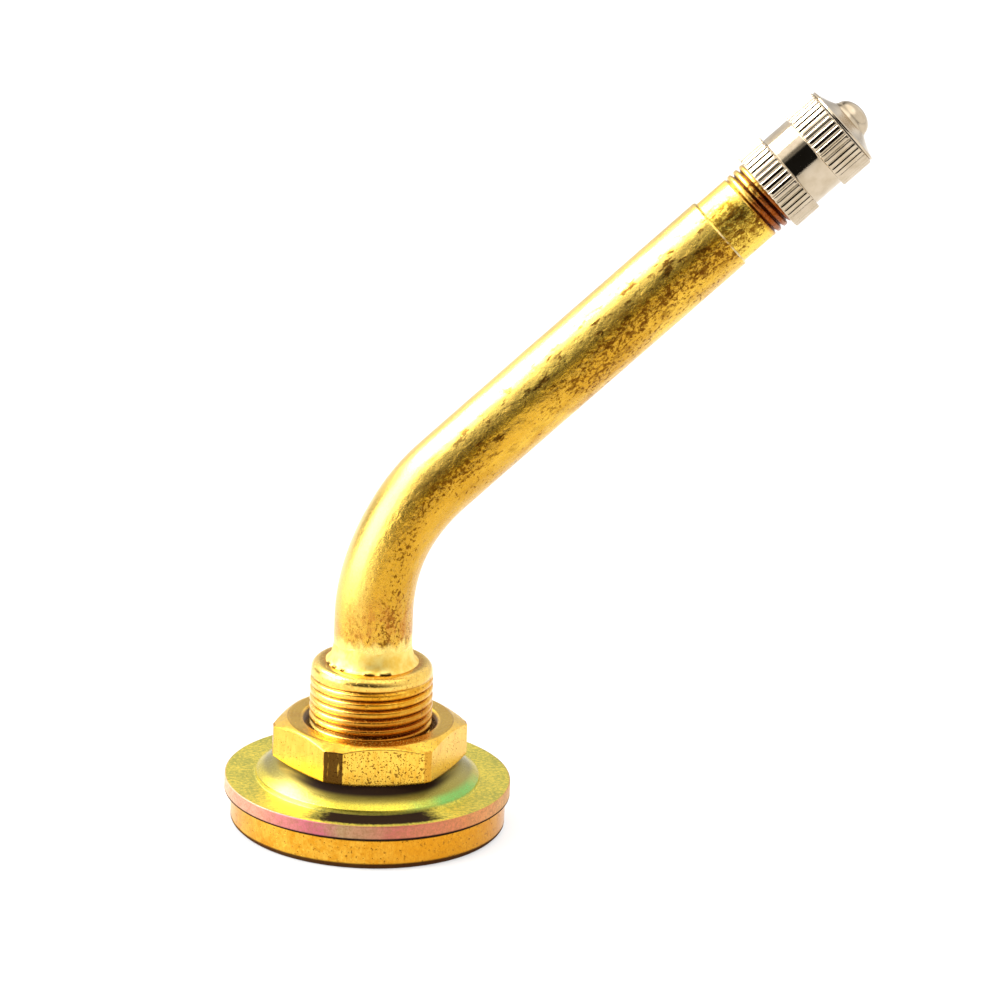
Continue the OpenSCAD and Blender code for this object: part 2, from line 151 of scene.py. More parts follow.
class Signal:
    """A number, colour or vector on its way through a material's nodes."""

    def __init__(self, tree, socket=None):
        self.tree = tree
        self.socket = socket

    def node(self, kind, settings, inputs, output=0):
        """One output of a new node. Its settings are made first, then its sockets are set or linked."""
        new = self.tree.nodes.new(kind)
        for key, value in settings.items():
            if key == "stops":
                stops = new.color_ramp.elements
                stops[0].position, stops[0].color = value[0]
                stops[1].position, stops[1].color = value[-1]
                for share, colour in value[1:-1]:
                    stops.new(share).color = colour
            else:
                setattr(new, key, value)
        for key, value in inputs.items():
            if isinstance(value, Signal):
                self.tree.links.new(value.socket, new.inputs[key])
            else:
                new.inputs[key].default_value = value
        return Signal(self.tree, new.outputs[output] if new.outputs else None)

    def maths(self, operation, *others):
        """This number, and others after it, through a Math node."""
        return self.node("ShaderNodeMath", {"operation": operation}, dict(enumerate([self, *others])))

    def vector_maths(self, operation, output, *others):
        """This vector, and others after it, through a Vector Math node."""
        inputs = dict(enumerate([self, *others]))
        return self.node("ShaderNodeVectorMath", {"operation": operation}, inputs, output)

    def __add__(self, other):
        return self.maths("ADD", other)

    def __sub__(self, other):
        return self.maths("SUBTRACT", other)

    def __rsub__(self, other):
        return self.node("ShaderNodeMath", {"operation": "SUBTRACT"}, {0: other, 1: self})

    def __mul__(self, other):
        return self.maths("MULTIPLY", other)

    def __truediv__(self, other):
        return self.maths("DIVIDE", other)

    def __rtruediv__(self, other):
        return self.node("ShaderNodeMath", {"operation": "DIVIDE"}, {0: other, 1: self})

    __radd__ = __add__
    __rmul__ = __mul__

    def larger(self, other):
        """The larger of two numbers."""
        return self.maths("MAXIMUM", other)

    def ramp(self, low, high):
        """0 below low, 1 above high, smooth between."""
        smooth = {"interpolation_type": "SMOOTHSTEP"}
        return self.node("ShaderNodeMapRange", smooth, {0: self, 1: low, 2: high})

    def blend(self, at_0, at_1):
        """A colour between two, by this share."""
        return self.node("ShaderNodeMix", {"data_type": "RGBA"}, {0: self, 6: at_0, 7: at_1}, 2)

    def noise(self, scale, detail=2.0, roughness=0.5):
        grain = {"Vector": self, "Scale": scale, "Detail": detail, "Roughness": roughness}
        return self.node("ShaderNodeTexNoise", {}, grain)

    def scaled(self, x, y, z):
        return self.vector_maths("MULTIPLY", 0, (x, y, z))

    def part(self, axis):
        return self.node("ShaderNodeSeparateXYZ", {}, {0: self}, axis)

    def along(self, direction):
        """How far a place lies in a direction."""
        return self.vector_maths("DOT_PRODUCT", "Value", direction)

    def away(self):
        """The distance of a place from the z axis."""
        return self.scaled(1, 1, 0).vector_maths("LENGTH", "Value")

    def turn(self):
        """The angle of a place round the z axis, in radians."""
        return self.part(1).maths("ARCTAN2", self.part(0))

    def facing(self, angle):
        """1 where a place lies towards an angle round the z axis, in degrees, and less further round."""
        way = (cos(radians(angle)), sin(radians(angle)), 0)
        return self.scaled(1, 1, 0).vector_maths("NORMALIZE", 0).along(way)


def finish(name, straight=True):
    """A new material, and the place to paint it by: in millimetres on the straight piece,
    or else in metres where the piece lies."""
    material = bpy.data.materials.new(name)
    material.use_nodes = True
    material.node_tree.nodes.clear()
    start = Signal(material.node_tree)
    if straight:
        return material, start.node("ShaderNodeAttribute", {"attribute_name": "straight"}, {}, "Vector")
    return material, start.node("ShaderNodeTexCoord", {}, {}, "Object")


def surface(material, colour, roughness, metallic, relief=None, depth=0.0, gloss=0.5, coat=0.0):
    """Ends a material in one surface, with fine relief in units of depth millimetres."""
    start = Signal(material.node_tree)
    inputs = {"Base Color": colour, "Roughness": roughness, "Metallic": metallic,
              "Specular IOR Level": gloss, "Coat Weight": coat, "Coat Roughness": 0.2}
    if relief is not None:
        inputs["Normal"] = start.node("ShaderNodeBump", {}, {"Height": relief, "Distance": depth * MM})
    shader = start.node("ShaderNodeBsdfPrincipled", {}, inputs)
    start.node("ShaderNodeOutputMaterial", {}, {"Surface": shader})


def rgb(r, g, b):
    return (r, g, b, 1.0)


base = eased([(PORT_R + PORT_CHAMFER, 0), (BASE_R - FOOT_CHAMFER, 0), (BASE_R, FOOT_CHAMFER),
              (BASE_R, BASE_T - RIM_CHAMFER), (BASE_R - RIM_CHAMFER, BASE_T),
              (RELIEF_R, BASE_T), (RELIEF_R, RELIEF_TOP)], ease=0.12)
neck = thread(SPUD_THREAD_FOOT, SPUD_THREAD_TOP, SPUD_PITCH, SPUD_R, SPUD_R - SPUD_DEPTH, SHANK_R)
shoulder = arc(SHANK_R - SHOULDER_ROUND, SHOULDER_START, SHOULDER_ROUND, SHOULDER_ROUND, range(0, 91, 9))
top = eased([(SHANK_R, SPUD_THREAD_TOP)] + shoulder
            + [(SOCKET_R, SPUD_TOP), (SOCKET_R, SOCKET_FLOOR), (PORT_R, SOCKET_FLOOR),
               (PORT_R, PORT_CHAMFER), (PORT_R + PORT_CHAMFER, 0)], ease=0.08)
spud = skin("spud_turned", hoops(base) + neck + hoops(top[:-1]))

spud_brass, at = finish("spud_brass")
height = at.part(2)
radius = at.away()
pits = at.noise(3.2, 3.0, 0.6).ramp(0.60, 0.68)
stain = (at.scaled(1, 1, 0.6).noise(0.42, 4.0, 0.62) * 0.6 + at.noise(1.8, 4.0, 0.7) * 0.4).ramp(0.42, 0.60)
grain = at.scaled(1, 1, 0.5).noise(6.0, 4.0, 0.7)
on_flange = radius.ramp(BASE_R - 0.7, BASE_R - 0.4)
on_neck = radius.ramp(SPUD_R - 1.4, SPUD_R - 0.8) * (1 - radius.ramp(SPUD_R + 0.1, SPUD_R + 0.6))
threaded = height.ramp(BASE_T + 0.2, BASE_T + 0.5) * (1 - height.ramp(SPUD_THREAD_TOP, SHOULDER_START))
# Painted shade: the roots of the neck's thread are painted dark.
groove_shade = threaded * (1 - radius.ramp(SPUD_R - 0.42, SPUD_R - 0.20))
# Painted reflection: the lower neck at the front is painted dark red-brown, as the nut's face mirrored in it.
nut_reflection = on_neck * (1 - height.ramp(SPUD_THREAD_TOP - 4.5, SPUD_THREAD_TOP - 0.7))
nut_reflection = nut_reflection * at.facing(NUT_REFLECTION_SIDE).ramp(0.35, 0.95)
# Painted highlight: the neck is painted paler at its top and on its side towards the lamp.
highlit_top = height.ramp(SPUD_THREAD_TOP - 0.4, SHOULDER_START) * 0.7
spud_highlight = on_neck * highlit_top.larger(at.facing(SPUD_HIGHLIT_SIDE).ramp(0.552, 0.903) * 0.8)
# Painted shade: near-black at the flange's foot, as contact shade on the floor, and at its top edge, as
# crevice shade under the washer.
unshaded_band = height.ramp(FOOT_CHAMFER + 0.15, FOOT_CHAMFER + 0.40)
unshaded_band = unshaded_band * (1 - height.ramp(BASE_T - 0.36, BASE_T - 0.24))
edge_shade = on_flange * (1 - unshaded_band)
# Painted shade: the flange is painted darker and more orange on its right-front side, away from the lamp,
# with more brown grain there.
flange_shade = on_flange * at.facing(FLANGE_SHADE_SIDE).ramp(0.2, 0.85)
colour = stain.blend(rgb(0.82, 0.465, 0.052), rgb(0.65, 0.295, 0.017))
colour = spud_highlight.blend(colour, rgb(0.93, 0.68, 0.17))
colour = (flange_shade * 0.75).blend(colour, rgb(0.66, 0.27, 0.012))
colour = (grain.ramp(0.42, 0.60) * (0.35 + flange_shade * 0.25)).blend(colour, rgb(0.56, 0.22, 0.012))
colour = (pits * 0.7).blend(colour, rgb(0.20, 0.08, 0.008))
colour = (nut_reflection * 0.85).blend(colour, rgb(0.36, 0.11, 0.009))
colour = (groove_shade * 0.85).blend(colour, rgb(0.13, 0.034, 0.003))
colour = (edge_shade * 0.95).blend(colour, rgb(0.030, 0.006, 0.002))
roughness = 0.17 + grain * 0.13 + pits * 0.2 + edge_shade * 0.5
surface(spud_brass, colour, roughness, 1 - edge_shade, grain * 0.4 - pits, depth=0.02, gloss=0.05)
spud.data.materials.append(spud_brass)
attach(spud, "stem")
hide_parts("spud")


# Stem tube: drawn brass, bent once, with its tip turned down and threaded for the cap. Brazing has
# tinted its foot, and years of handling have left brown specks. Its side towards the lamp is painted
# paler as a highlight, and its side facing the camera darker as a reflection of the dark room.
TUBE_R, AIR_R, FOOT_EASE = 4.09, 1.8, 0.15
BEND_HEIGHT, BEND_RADIUS, BEND_ANGLE = 22.6, 20.5, radians(48)
FOOT_LEN, SPUD_TOP_AT = BEND_HEIGHT - SOCKET_FLOOR, SPUD_TOP - SOCKET_FLOOR
BEND_LEN = BEND_RADIUS * BEND_ANGLE
ARM_START = FOOT_LEN + BEND_LEN
ARM_LEN, COLLAR_LEN, TIP_THREAD_LEN = 37.85, 3.6, 11.4
STEP = ARM_START + ARM_LEN
COLLAR_END = STEP + COLLAR_LEN
MOUTH = COLLAR_END + TIP_THREAD_LEN
COLLAR_R, TIP_R, TIP_PITCH, TIP_DEPTH = 3.8, 3.85, 25.4 / 32, 0.48
TIP_CHAMFER_R, TIP_CHAMFER_H, CORE_CHAMFER = 0.45, 0.5, 0.35
CORE_R, CORE_DEPTH, SEAL_DEPTH = 2.65, 6.2, 6.75
CHAMBER_R, CHAMBER_DEPTH, AIR_DEPTH = 2.1, 9.8, 11.4
TUBE_ROUND = full_turn(112)
# The tube's side towards the lamp, painted as a highlight, and its side facing the camera, painted dark as a
# reflection of the dark room.
HIGHLIT_SIDE, DARK_REFLECTION_SIDE = -172, -111.7


def bent(p):
    """Carries a point of the straight tube, with z from its foot, onto the bent one."""
    turn = min(max((p.z - FOOT_LEN) / BEND_RADIUS, 0.0), BEND_ANGLE)
    rest = p.z - FOOT_LEN if p.z < FOOT_LEN else max(p.z - ARM_START, 0.0)
    out = Vector((cos(turn), 0, -sin(turn)))
    up = Vector((sin(turn), 0, cos(turn)))
    centre = Vector((BEND_RADIUS * (1 - cos(turn)), 0, BEND_HEIGHT + BEND_RADIUS * sin(turn)))
    return centre + up * rest + out * p.x + Vector((0, p.y, 0))


def uneven(z):
    """A row round the tube, which is a trace out of true and flattened by the bending."""
    flattened = sin(pi * min(max((z - FOOT_LEN + 1) / (BEND_LEN + 2), 0.0), 1.0)) ** 2
    row = []
    for a in TUBE_ROUND:
        wave = noise.noise(Vector((1.3 * cos(a), 1.3 * sin(a), z * 0.16)))
        ripple = noise.noise(Vector((3 * cos(a), 3 * sin(a), z * 0.5)))
        squeeze = flattened * (0.2 * cos(a) ** 2 - 0.05 * sin(a) ** 2)
        row.append((TUBE_R + 0.02 * (wave + 0.4 * ripple) - squeeze, z))
    return row


outside = [uneven(FOOT_EASE + i * (STEP - 0.25 - FOOT_EASE) / 110) for i in range(111)]
step = eased([(TUBE_R, STEP - 0.2), (TUBE_R - 0.16, STEP), (COLLAR_R, STEP),
              (COLLAR_R, COLLAR_END)], ease=0.05)
tip = thread(COLLAR_END, MOUTH - TIP_CHAMFER_H, TIP_PITCH, TIP_R, TIP_R - TIP_DEPTH, COLLAR_R, TUBE_ROUND)
mouth = eased([(COLLAR_R, MOUTH - TIP_CHAMFER_H), (COLLAR_R - TIP_CHAMFER_R, MOUTH),
               (CORE_R + CORE_CHAMFER, MOUTH), (CORE_R, MOUTH - CORE_CHAMFER), (CORE_R, MOUTH - CORE_DEPTH),
               (CHAMBER_R, MOUTH - SEAL_DEPTH), (CHAMBER_R, MOUTH - CHAMBER_DEPTH),
               (AIR_R, MOUTH - AIR_DEPTH), (AIR_R, ARM_START)], ease=0.06)
bore = [(AIR_R, ARM_START - BEND_LEN * i / 24) for i in range(1, 25)]
bore += [(AIR_R, FOOT_EASE), (AIR_R + FOOT_EASE, 0), (TUBE_R - FOOT_EASE, 0)]
tube_rows = outside + hoops(step, TUBE_ROUND) + tip + hoops(mouth, TUBE_ROUND) + hoops(bore, TUBE_ROUND)
tube = skin("stem_tube_bent", tube_rows, TUBE_ROUND, bent)

tube_brass, at = finish("tube_brass")
along = at.part(2)
radius = at.away()
patches = at.scaled(1, 1, 0.22).noise(0.30, 3.0, 0.55)
tone = at.scaled(1, 1, 0.4).noise(0.9, 4.0, 0.6)
specks = at.scaled(1, 1, 0.7).noise(3.2, 5.0, 0.72)
crinkle = at.scaled(1, 1, 0.6).noise(1.9, 5.0, 0.62)
dents = at.scaled(1, 1, 0.45).noise(0.8, 3.0, 0.5)
fine = at.noise(9.0, 3.0, 0.7)
foot = 1 - along.ramp(SPUD_TOP_AT + 2.0, SPUD_TOP_AT + 9.0)
upper_arm = along.ramp(ARM_START + 8, STEP - 3)
collar = along.ramp(STEP - 0.02, STEP + 0.02) * (1 - along.ramp(COLLAR_END, COLLAR_END + 0.3))
# Painted highlight: the side towards the lamp is painted paler, with fewer specks, less heat tint and a
# smoother relief.
rubbed_and_highlit = at.facing(HIGHLIT_SIDE).ramp(0.35, 0.75) * (1 - foot * 0.7)
front = at.facing(DARK_REFLECTION_SIDE).ramp(0.55, 0.95)
patina = (specks + patches * 0.50 + front * 0.05 + upper_arm * 0.06 + foot * 0.04).ramp(0.85, 0.93)
patina = patina * (1 - rubbed_and_highlit * 0.85)
# Dark specks along the side facing the camera: partly patina, partly painted reflection of the dark room.
specks_and_reflection = (at.scaled(1, 1, 0.4).noise(1.2, 5.0, 0.72) + upper_arm * 0.03).ramp(0.53, 0.62)
specks_and_reflection = specks_and_reflection * front * along.ramp(ARM_START - 6, ARM_START + 8)
heat = (crinkle * 0.5 + tone * 0.5).ramp(0.42, 0.60) * (1 - rubbed_and_highlit)
heat = heat * (1 - along.ramp(SPUD_TOP_AT + 5.0, SPUD_TOP_AT + 10.0))
fluxed = 1 - (along - tone * 3.0).ramp(SPUD_TOP_AT + 0.9, SPUD_TOP_AT + 2.0)
blotch = collar * front * (1 - along.ramp(COLLAR_END - 0.6, COLLAR_END))
blotch = blotch * at.noise(2.0, 4.0, 0.7).ramp(0.40, 0.58)
# Painted highlight: the step's bevel is painted a bright line, away from the lamp side.
lip_highlight = along.ramp(STEP - 0.22, STEP - 0.15) * (1 - along.ramp(STEP - 0.01, STEP + 0.01))
lip_highlight = lip_highlight * (1 - rubbed_and_highlit) * tone.ramp(0.38, 0.55)
# Painted shade: the tip's thread beyond the collar is painted dark red-brown, except on its side towards the
# lamp.
shaded_thread = along.ramp(COLLAR_END + 0.1, COLLAR_END + 0.9)
shaded_thread = shaded_thread * (1 - at.facing(HIGHLIT_SIDE).ramp(0.45, 0.75) * 0.85)
# Painted shade: the roots of the tip's thread are painted near-black.
groove_shade = (1 - radius.ramp(COLLAR_R - 0.36, COLLAR_R - 0.06)) * along.ramp(COLLAR_END, COLLAR_END + 0.3)
colour = along.ramp(ARM_START - 2, ARM_START + 14).blend(rgb(0.68, 0.39, 0.030), rgb(0.90, 0.58, 0.065))
# Painted reflection: the side facing the camera is painted a deeper orange, where it mirrors the dark room.
colour = (front * (1 - rubbed_and_highlit) * 0.7).blend(colour, rgb(0.68, 0.35, 0.018))
colour = (patches * 0.6 + tone * 0.4).ramp(0.38, 0.62).blend(colour, rgb(0.57, 0.29, 0.011))
colour = (rubbed_and_highlit * 0.45).blend(colour, rgb(0.93, 0.72, 0.20))
colour = (foot * 0.7).blend(colour, rgb(0.76, 0.43, 0.05))
colour = (collar * 0.75).blend(colour, rgb(0.93, 0.65, 0.095))
colour = (patina * 0.93).blend(colour, rgb(0.17, 0.062, 0.004))
colour = (specks_and_reflection * 0.92).blend(colour, rgb(0.13, 0.042, 0.003))
colour = (heat * 0.7).blend(colour, rgb(0.50, 0.18, 0.022))
colour = (fluxed * 0.9).blend(colour, rgb(0.95, 0.72, 0.19))
colour = (shaded_thread * 0.94).blend(colour, rgb(0.25, 0.050, 0.004))
colour = (blotch * 0.80).blend(colour, rgb(0.25, 0.115, 0.006))
colour = (groove_shade * 0.9).blend(colour, rgb(0.10, 0.018, 0.002))
colour = (lip_highlight * 0.6).blend(colour, rgb(0.98, 0.86, 0.50))
relief = (crinkle * 1.2 + specks * 0.5 + dents * 2.2) * (1 - rubbed_and_highlit * 0.75) + fine * 0.15
polish = (1 - patina) * (1 - specks_and_reflection) * (1 - collar) * 0.3
surface(tube_brass, colour, 0.23 + patina * 0.15 + fine * 0.08, 1.0, relief, depth=0.085, coat=polish)
tube.data.materials.append(tube_brass)
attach(tube, "stem")
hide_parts("stem_tube")


# Braze fillet: filler that ran round the joint of tube and spud and set hollow, with small voids
# left at its toe where it didn't take. Each void is an angle round the tube and a half width.
FILLET_W, FILLET_H, VOID_H = 0.8, 2.5, 0.16
VOIDS = [(-104, 8), (-84, 9), (-172, 6), (-156, 5), (-141, 4), (120, 8)]
FILM = 0.02


def fillet_row(t):
    """A row of the hollow face, t from 0 at the toe to 1 on the tube."""
    turn = radians(90) * t
    row = []
    for a in ROUND:
        run = noise.noise(Vector((1.4 * cos(a), 1.4 * sin(a), 3.1)))
        ripple = noise.noise(Vector((5 * cos(a), 5 * sin(a), 2 * t)))
        off = [abs((degrees(a) - middle + 180) % 360 - 180) / width for middle, width in VOIDS]
        lift = VOID_H * max(0.0, 1 - min(off) ** 2) * (1 - t) ** 3 + 0.03 * ripple * t * (1 - t)
        wide = FILLET_W * (1 + 0.16 * run)
        high = FILLET_H * (1 + 0.14 * run + 0.05 * ripple)
        row.append((TUBE_R - FILM + wide * (1 - sin(turn)), SPUD_TOP + lift + high * (1 - cos(turn))))
    return row


fillet_face = [fillet_row(i / 10) for i in range(11)]
fillet_back = hoops([(TUBE_R - 0.05, SPUD_TOP - FILM)])
fillet_foot = [[(r - FILM, SPUD_TOP - FILM) for r, z in fillet_face[0]]]
fillet = skin("braze_fillet_run", fillet_back + fillet_foot + fillet_face)

filler_brass, at = finish("filler_brass")
cloud = at.noise(0.9, 4.0, 0.6)
# Painted shade: the toe inside each void is painted near-black.
void_shade = 0
for middle, width in VOIDS:
    gap = at.facing(middle).ramp(cos(radians(width)), cos(radians(width * 0.6)))
    void_shade = gap.larger(void_shade)
toe = 1 - (at.part(2) + at.noise(2.0, 3.0, 0.6) * 0.3).ramp(SPUD_TOP + 0.22, SPUD_TOP + 0.40)
colour = cloud.ramp(0.35, 0.70).blend(rgb(0.95, 0.74, 0.22), rgb(0.88, 0.58, 0.10))
colour = (toe * void_shade * 0.95).blend(colour, rgb(0.02, 0.008, 0.003))
surface(filler_brass, colour, 0.42 + cloud * 0.16, 1.0, at.noise(3.0, 4.0, 0.6), depth=0.03)
fillet.data.materials.append(filler_brass)
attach(fillet, "stem")
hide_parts("braze_fillet")


# Clamp washer: pressed from steel sheet with a raised hat, zinc plated and passivated yellow, which
# gives green, pink and gold tints. It lies loose between base flange and nut, a little off centre.
WASHER_R, WASHER_T, WASHER_HOLE_R = 14.9, 1.55, 6.75
RIM_TOP = BASE_T + WASHER_T
HAT_FOOT_R, HAT_EDGE_R, HAT_EDGE_Z = 11.75, 11.6, RIM_TOP + 0.45
SEAT_R, SEAT_Z = 8.7, HAT_EDGE_Z + 1.55
OFF_CENTRE = Vector((-0.12, 0.03, 0))
# The side where the green tint gathers, and the front side, where the painted shade and reflection are
# darkest.
GREEN_SIDE, PAINTED_DARK_SIDE = -45, -95.7
EDGE_TINTS = [(0.0, rgb(0.80, 0.52, 0.34)), (0.08, rgb(0.70, 0.30, 0.22)), (0.15, rgb(0.58, 0.14, 0.20)),
              (0.19, rgb(0.48, 0.32, 0.16)), (0.26, rgb(0.60, 0.17, 0.13)), (0.33, rgb(0.70, 0.26, 0.10)),
              (0.42, rgb(0.76, 0.40, 0.14)), (0.75, rgb(0.60, 0.55, 0.16)), (1.0, rgb(0.80, 0.52, 0.34))]


def dome(drop):
    """The hat's top line from the seat to its edge, lowered by drop."""
    wide, high = HAT_EDGE_R - SEAT_R, SEAT_Z - HAT_EDGE_Z
    return [(SEAT_R + wide * i / 12, SEAT_Z - drop - high * (i / 12) ** 1.4) for i in range(13)]


sheet = eased([(WASHER_HOLE_R, SEAT_Z - WASHER_T), (WASHER_HOLE_R, SEAT_Z)] + dome(0)
              + [(HAT_FOOT_R, RIM_TOP), (WASHER_R, RIM_TOP), (WASHER_R, BASE_T), (HAT_EDGE_R, BASE_T)]
              + dome(WASHER_T)[::-1] + [(WASHER_HOLE_R, SEAT_Z - WASHER_T)], ease=0.07)
washer = skin("clamp_washer_pressed", hoops(sheet[:-1]), place=lambda p: p + OFF_CENTRE)

zinc, at = finish("yellow_zinc")
height = at.part(2)
radius = at.away()
cloud = at.noise(0.22, 3.0, 0.5)
mottle = at.noise(2.4, 4.0, 0.65)
fleck = at.noise(7.0, 3.0, 0.7)
front = at.facing(PAINTED_DARK_SIDE)
olive = (cloud * 0.25 + mottle * 0.45 + fleck * 0.30).ramp(0.40, 0.60)
olive = olive.blend(rgb(0.84, 0.67, 0.095), rgb(0.38, 0.37, 0.07))
green = (at.facing(GREEN_SIDE) + (cloud - 0.5) * 0.3).ramp(0.80, 0.98)
hat_foot = radius.ramp(HAT_EDGE_R - 1.2, HAT_EDGE_R - 0.4)
hat = green.blend(rgb(0.70, 0.56, 0.06), rgb(0.22, 0.50, 0.12))
hat = (1 - radius.ramp(HAT_EDGE_R - 1.1, HAT_EDGE_R - 0.3)).blend(hat, rgb(0.34, 0.28, 0.06))
hat = (fleck.ramp(0.44, 0.60) * 0.4).blend(hat, rgb(0.26, 0.20, 0.03))
# Painted shade and reflection: the inner hat at the front, under the nut, is painted dark.
hat = (front.ramp(0.60, 0.95) * (1 - hat_foot) * (0.4 + mottle * 0.6)).blend(hat, rgb(0.12, 0.09, 0.012))
turn = at.turn() / (2 * pi) + 0.5 + (cloud - 0.5) * 0.12
edge = turn.node("ShaderNodeValToRGB", {"stops": EDGE_TINTS}, {0: turn})
edge = (fleck.ramp(0.42, 0.62) * 0.35 + mottle.ramp(0.42, 0.60) * 0.30).blend(edge, rgb(0.32, 0.16, 0.07))
seat = 1 - radius.ramp(SEAT_R - 0.35, SEAT_R - 0.05)
rings = (radius * 40 + mottle * 9).maths("SINE")
# The seat, rubbed bright in rings by the nut: real wear.
rubbed_and_highlit = (rings * 0.25 + mottle * 0.5 + 0.25).blend(rgb(0.62, 0.52, 0.24), rgb(0.34, 0.25, 0.07))
# Painted reflection: a dark band on the rim's top at the front, where the dark room and the nut are mirrored.
front_reflection = (front + (mottle - 0.5) * 0.08).ramp(0.80, 0.93) * radius.ramp(HAT_EDGE_R, HAT_EDGE_R + 0.2)
front_reflection = front_reflection * (1 - (radius - mottle * 0.6).ramp(WASHER_R - 1.2, WASHER_R - 0.4))
# Painted shade in the crevice between the rim's lower edge and the flange.
rim_crevice_shade = radius.ramp(WASHER_R - 0.4, WASHER_R - 0.2) * (1 - height.ramp(BASE_T + 0.12, BASE_T + 0.28))
# Painted shade under the nut, widest and darkest at the front.
nut_shade = 1 - (radius - front.ramp(0.5, 0.95) * 0.5).ramp(SEAT_R + 0.6, SEAT_R + 1.5)
nut_shade = nut_shade * (1 - seat) * (0.35 + front.ramp(0.2, 0.8) * 0.65)
# The painted shade and reflection above, laid on near-black, rough and not metallic.
shade_and_reflection = nut_shade.larger(front_reflection.larger(rim_crevice_shade))
colour = radius.ramp(HAT_EDGE_R + 0.02, HAT_EDGE_R + 0.12).blend(hat, olive)
colour = radius.ramp(WASHER_R - 0.18, WASHER_R - 0.04).blend(colour, edge)
colour = seat.blend(colour, rubbed_and_highlit)
colour = shade_and_reflection.blend(colour, rgb(0.012, 0.005, 0.002))
roughness = 0.20 + mottle * 0.12 + radius.ramp(HAT_EDGE_R, HAT_EDGE_R + 0.3) * 0.22 + shade_and_reflection * 0.3
surface(zinc, colour, roughness, 1 - shade_and_reflection, mottle * 0.5 + fleck * 0.5, depth=0.016, gloss=0.05)
washer.data.materials.append(zinc)
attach(washer, "washer")
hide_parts("clamp_washer")


# Clamp nut: cut from hexagon brass bar, chamfered and tapped to run on the spud. Spanners have worn
# its corners flat and bruised one of them.
NUT_AF, NUT_H, NUT_FACE_R = 18.0, 4.4, 8.6
NUT_CORNER_R = NUT_AF / 2 / cos(radians(30))
NUT_TOP = SEAT_Z + NUT_H
UPPER_SLOPE, LOWER_SLOPE = tan(radians(26)), tan(radians(15))
NUT_BORE_R, COUNTERSINK_W, COUNTERSINK_H = SPUD_R + 0.06, 0.68, 0.7
NUT_CLOCK, BRUISE_AT = -4, -119
WORN_OFF, BRUISE_OFF = [NUT_CORNER_R - width / 2 / tan(radians(60)) for width in (0.9, 1.9)]
FLATS = [(NUT_CLOCK + 30 + 60 * k, NUT_AF / 2) for k in range(-3, 3)]
FLATS += [(NUT_CLOCK + 60 * k, WORN_OFF) for k in range(-1, 4)] + [(BRUISE_AT, BRUISE_OFF)]
FLATS.sort()
FRONT_FLAT = FLATS[2][0]


def edge_between(first, second):
    """The direction of the upright edge where two flats meet."""
    (a, off_a), (b, off_b) = [(radians(way), off) for way, off in (first, second)]
    return atan2(off_b * cos(a) - off_a * cos(b), off_a * sin(b) - off_b * sin(a))


edges = sorted(edge_between(f, g) for f, g in zip(FLATS, FLATS[1:] + FLATS[:1]))
NUT_ROUND = []
for here, there in zip(edges, edges[1:] + [edges[0] + 2 * pi]):
    NUT_ROUND += [here + radians(d) for d in (-0.4, -0.15, 0.15, 0.4)]
    spans = round((there - here) / radians(3))
    NUT_ROUND += [here + (there - here) * i / spans for i in range(1, spans)]
NUT_ROUND.append(NUT_ROUND[0] + 2 * pi)


def nut_row(inset, drop, below):
    """A row round the flats: inset from them, drop past the chamfer's edge, at the lower or upper end."""
    row = []
    for a in NUT_ROUND:
        r = min(off / cos(a - radians(way)) for way, off in FLATS if cos(a - radians(way)) > 0.5)
        edge = max(0.0, r - NUT_FACE_R - inset) * (LOWER_SLOPE if below else UPPER_SLOPE) + drop
        row.append((r - inset, SEAT_Z + edge if below else NUT_TOP - edge))
    return row


lower_face = [(NUT_BORE_R + 0.7, SEAT_Z), (NUT_FACE_R - 0.3, SEAT_Z), (NUT_FACE_R - 0.1, SEAT_Z),
              (NUT_FACE_R, SEAT_Z + 0.01)]
upper_face = [(NUT_FACE_R, NUT_TOP - 0.02), (NUT_FACE_R - 0.1, NUT_TOP), (NUT_FACE_R - 0.3, NUT_TOP),
              (NUT_BORE_R + 1.0, NUT_TOP), (NUT_BORE_R + 0.8, NUT_TOP),
              (NUT_BORE_R + COUNTERSINK_W, NUT_TOP - 0.04), (NUT_BORE_R, NUT_TOP - COUNTERSINK_H)]
easing = [(0.08, 0), (0.02, 0.02), (0, 0.08), (0, 0.25)]
flats = [nut_row(inset, drop, below=True) for inset, drop in easing]
flats += [nut_row(inset, drop, below=False) for inset, drop in easing[::-1]]
tapped = thread(SEAT_Z + COUNTERSINK_H, NUT_TOP - COUNTERSINK_H, SPUD_PITCH, SPUD_R - 0.42, SPUD_R + 0.10,
                NUT_BORE_R, NUT_ROUND)
nut_rows = hoops(lower_face, NUT_ROUND) + flats + hoops(upper_face, NUT_ROUND) + tapped[::-1]
nut_rows += hoops([(NUT_BORE_R, SEAT_Z + COUNTERSINK_H)], NUT_ROUND)
nut = skin("clamp_nut_cut", nut_rows, NUT_ROUND)

nut_brass, at = finish("nut_brass")
height = at.part(2)
radius = at.away()
front = at.facing(FRONT_FLAT).ramp(0.86, 0.88) * (1 - height.ramp(NUT_TOP - 0.5, NUT_TOP - 0.4))
pits = (at.noise(5.0, 2.0, 0.5) + front * 0.05).ramp(0.63, 0.68)
stain = at.noise(0.4, 4.0, 0.6).ramp(0.40, 0.75)
drawn = at.scaled(1, 1, 0.12).noise(5.0, 3.0, 0.6)
grain = at.noise(6.0, 4.0, 0.7)
bruise_way = (cos(radians(BRUISE_AT)), sin(radians(BRUISE_AT)), 0)
bruised = at.along(bruise_way).ramp(BRUISE_OFF - 0.10, BRUISE_OFF - 0.05)
scratched = at.scaled(1, 1, 0.2).noise(1.6, 3.0, 0.6).ramp(0.56, 0.66)
corners = ((at.turn() - radians(NUT_CLOCK)) * 6).maths("COSINE").ramp(0.955, 0.972)
